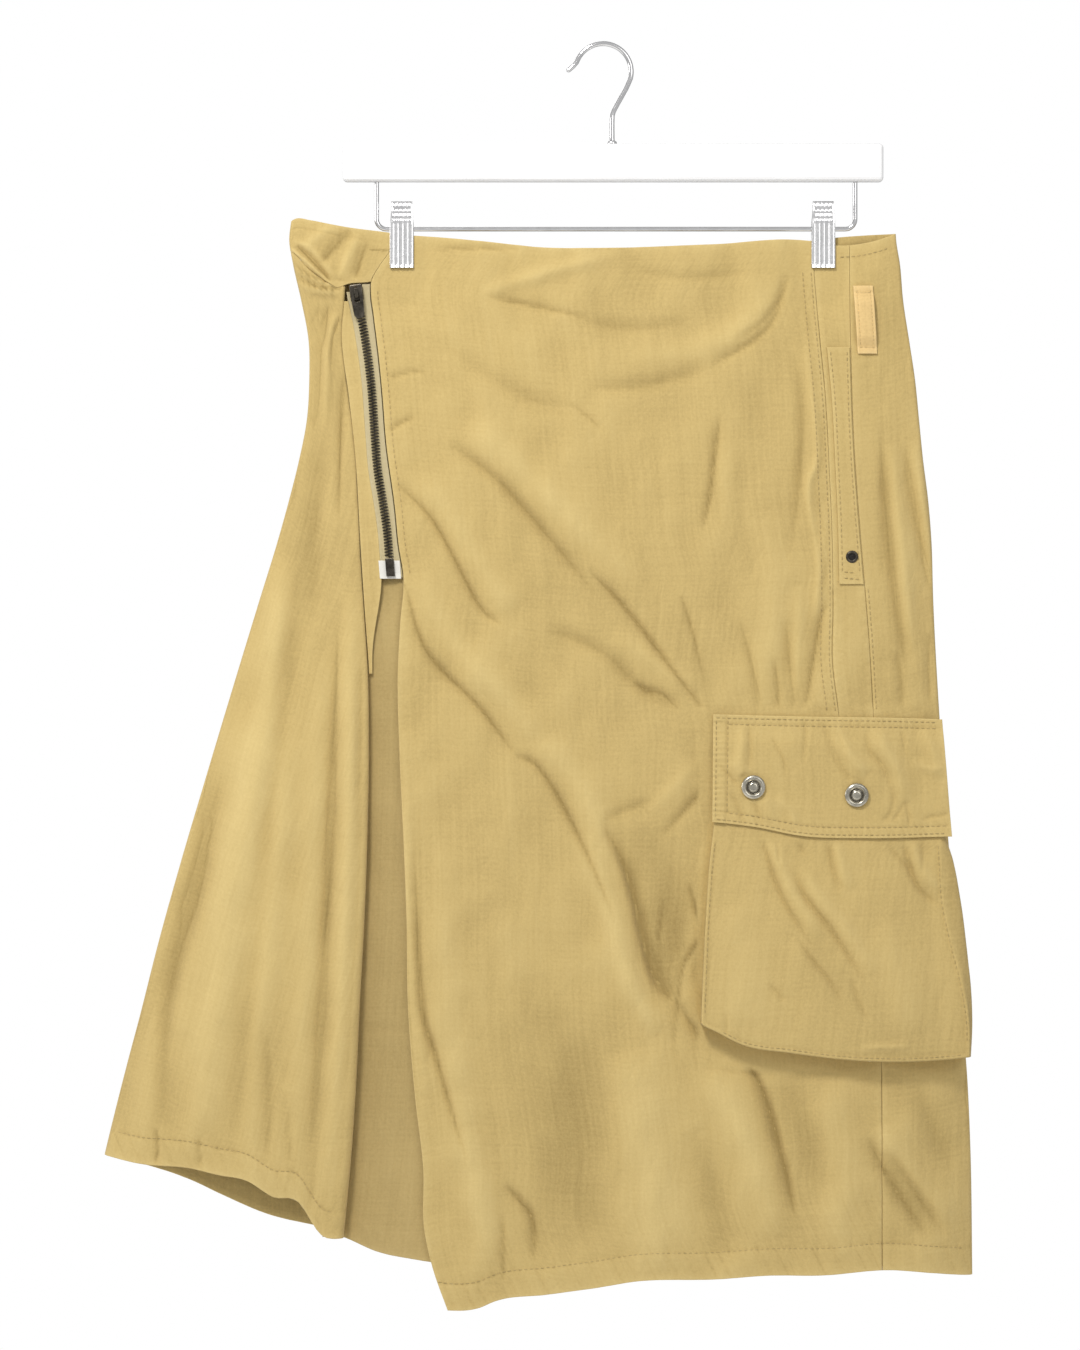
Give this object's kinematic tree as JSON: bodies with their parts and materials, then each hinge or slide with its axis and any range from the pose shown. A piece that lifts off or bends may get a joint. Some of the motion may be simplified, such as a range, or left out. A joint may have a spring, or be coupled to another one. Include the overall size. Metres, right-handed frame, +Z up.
{
  "type": "cargo skirt on a clip hanger",
  "caption": "Knee-length khaki cotton wrap skirt with a slanted zip, an open pleat and a bellows cargo pocket, hanging from a white bar hanger with metal clips.",
  "frame": {"origin": "inside of the hanger's hook at its top, where a rail holds it", "axes": "+Z up along the hanging skirt, +Y from the skirt's front to its back, +X to the right seen from the front"},
  "size_m": [0.5641, 0.0563, 0.8224],
  "materials": {
    "cloth": "washed plain-weave cotton",
    "loop_cloth": "washed cotton, a little more orange",
    "zip_tape": "woven tape",
    "dark_metal": "dark antique",
    "bright_metal": "polished",
    "white_paint": "satin white"
  },
  "bodies": {
    "garment": {"front_panel": "cloth", "front_side_panel": "cloth", "back_panel": "cloth", "left_panel": "cloth", "waist_yoke_left": "cloth", "pleat_underlap": "cloth", "side_pocket_welt": "cloth", "belt_loop": "loop_cloth", "zip_facing": "cloth", "zip_tape_left": "zip_tape", "zip_tape_right": "zip_tape", "zip_chain": "dark_metal", "zip_box": "dark_metal", "zip_slider": "dark_metal", "cargo_pocket_bag": "cloth", "cargo_pocket_flap": "cloth", "snap_left": "bright_metal", "snap_right": "bright_metal", "eyelet_ring": "dark_metal", "hanger_hook": "bright_metal", "hanger_rod": "bright_metal", "hanger_bar": "white_paint", "clip_left": "bright_metal", "clip_right": "bright_metal"},
    "zip_pull": {"zip_pull": "dark_metal"}
  },
  "joints": [
    {"name": "zip_pull_swing", "type": "hinge", "parent": "garment", "child": "zip_pull", "pos_m": [-0.1602, -0.00742, -0.1605], "axis": [-0.9903, 0, -0.1392], "range_deg": [0, 150]}
  ]
}
